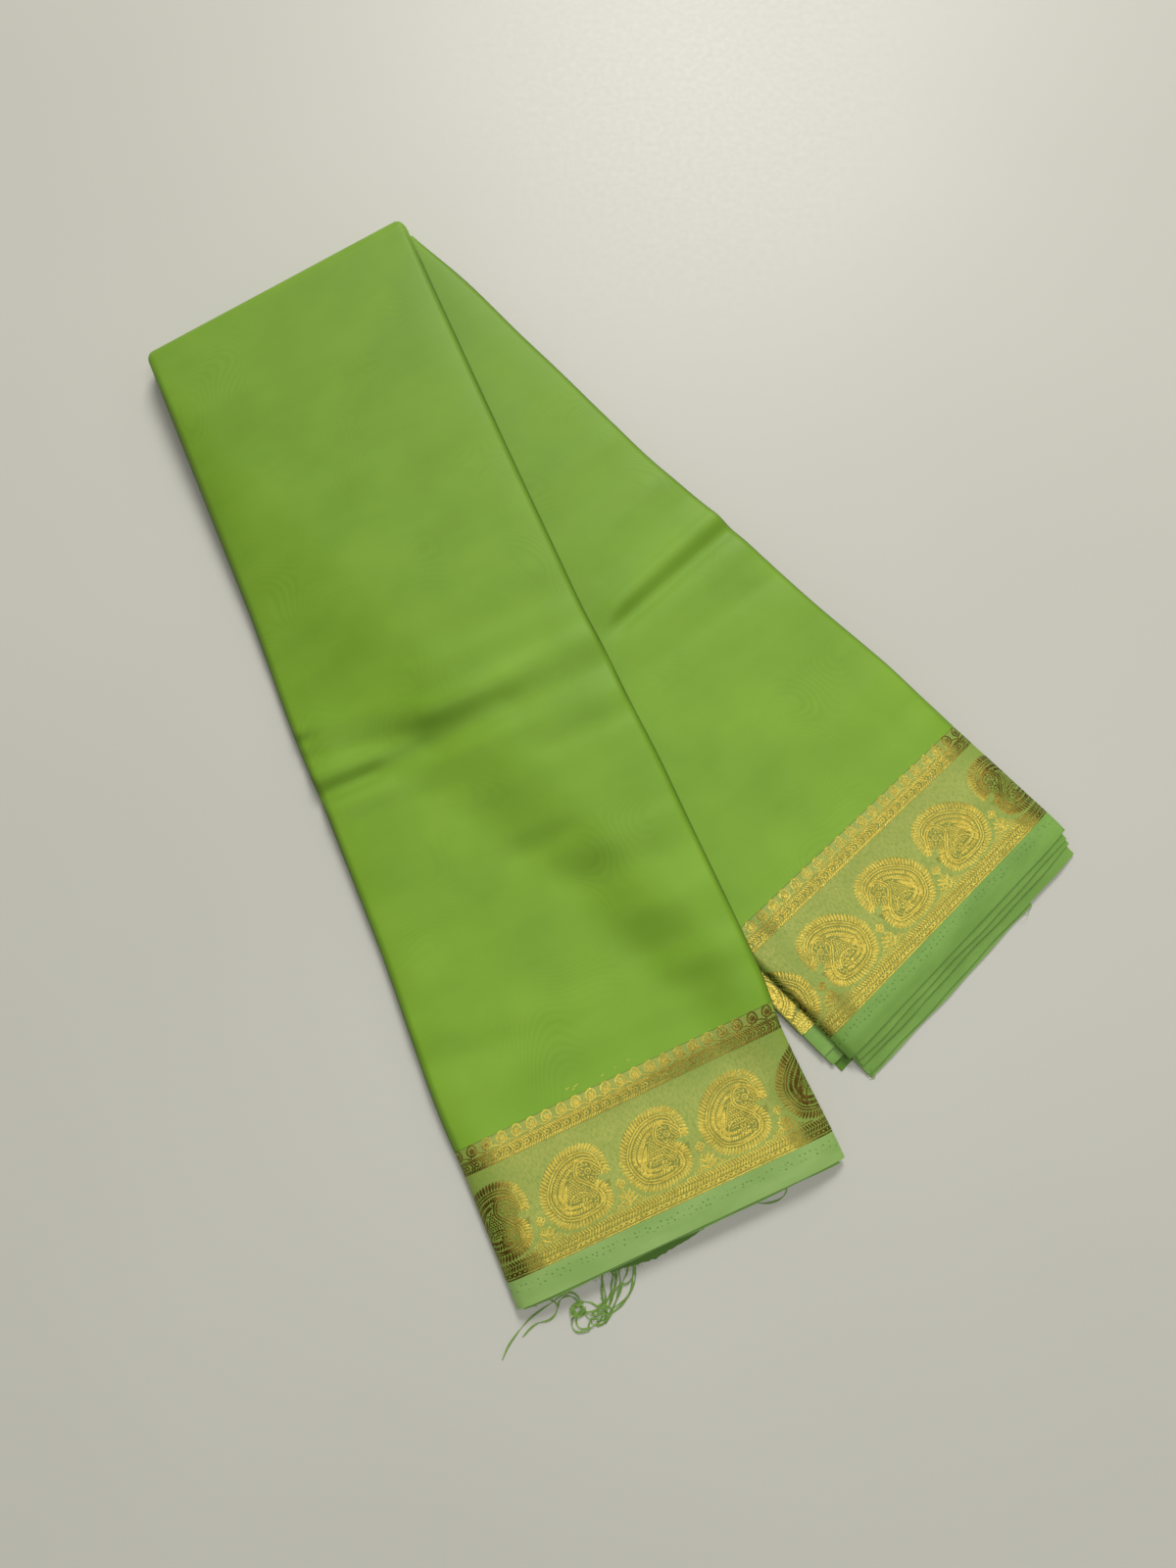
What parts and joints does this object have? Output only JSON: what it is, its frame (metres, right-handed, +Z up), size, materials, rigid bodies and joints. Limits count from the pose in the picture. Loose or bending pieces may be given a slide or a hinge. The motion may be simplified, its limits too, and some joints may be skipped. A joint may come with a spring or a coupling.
{
  "type": "folded saree",
  "caption": "Folded green saree with a gold woven paisley border, turned over once at a skew fold so one leg lies across the other.",
  "frame": {"origin": "centre of the bounding box's bottom, on the surface the saree lies on", "axes": "+Z up off the surface, through the thickness; +X to the right and +Y away from a viewer who faces the two hems"},
  "size_m": [0.5473, 0.675, 0.0227],
  "materials": {
    "field": "soft silk-like crepe, even bright green with a faint sheen",
    "zari": "green tissue ground with raised metallic gold brocade motifs",
    "hem": "plain denser selvedge in light green",
    "layers": "inner plies of the same green silk, seen at their folded edges",
    "thread": "loose pale green and tan yarn ends"
  },
  "bodies": {
    "root": {"upper_field": "field", "upper_border": "zari", "upper_hem": "hem", "upper_layers": "layers", "upper_hem_ply_2": "hem", "upper_hem_ply_3": "hem", "upper_hem_plies": "hem", "fold_turn": "layers", "lower_field": "field", "lower_border": "zari", "lower_hem": "hem", "lower_layers": "layers", "lower_hem_ply_2": "hem", "lower_hem_ply_3": "hem", "lower_hem_ply_4": "hem", "lower_hem_ply_5": "hem", "lower_step_layers": "layers", "lower_step_border": "zari", "lower_step_hem_1": "hem", "lower_step_hem_2": "hem", "lower_under": "layers", "raw_end": "field", "frayed_threads": "thread"}
  },
  "joints": []
}
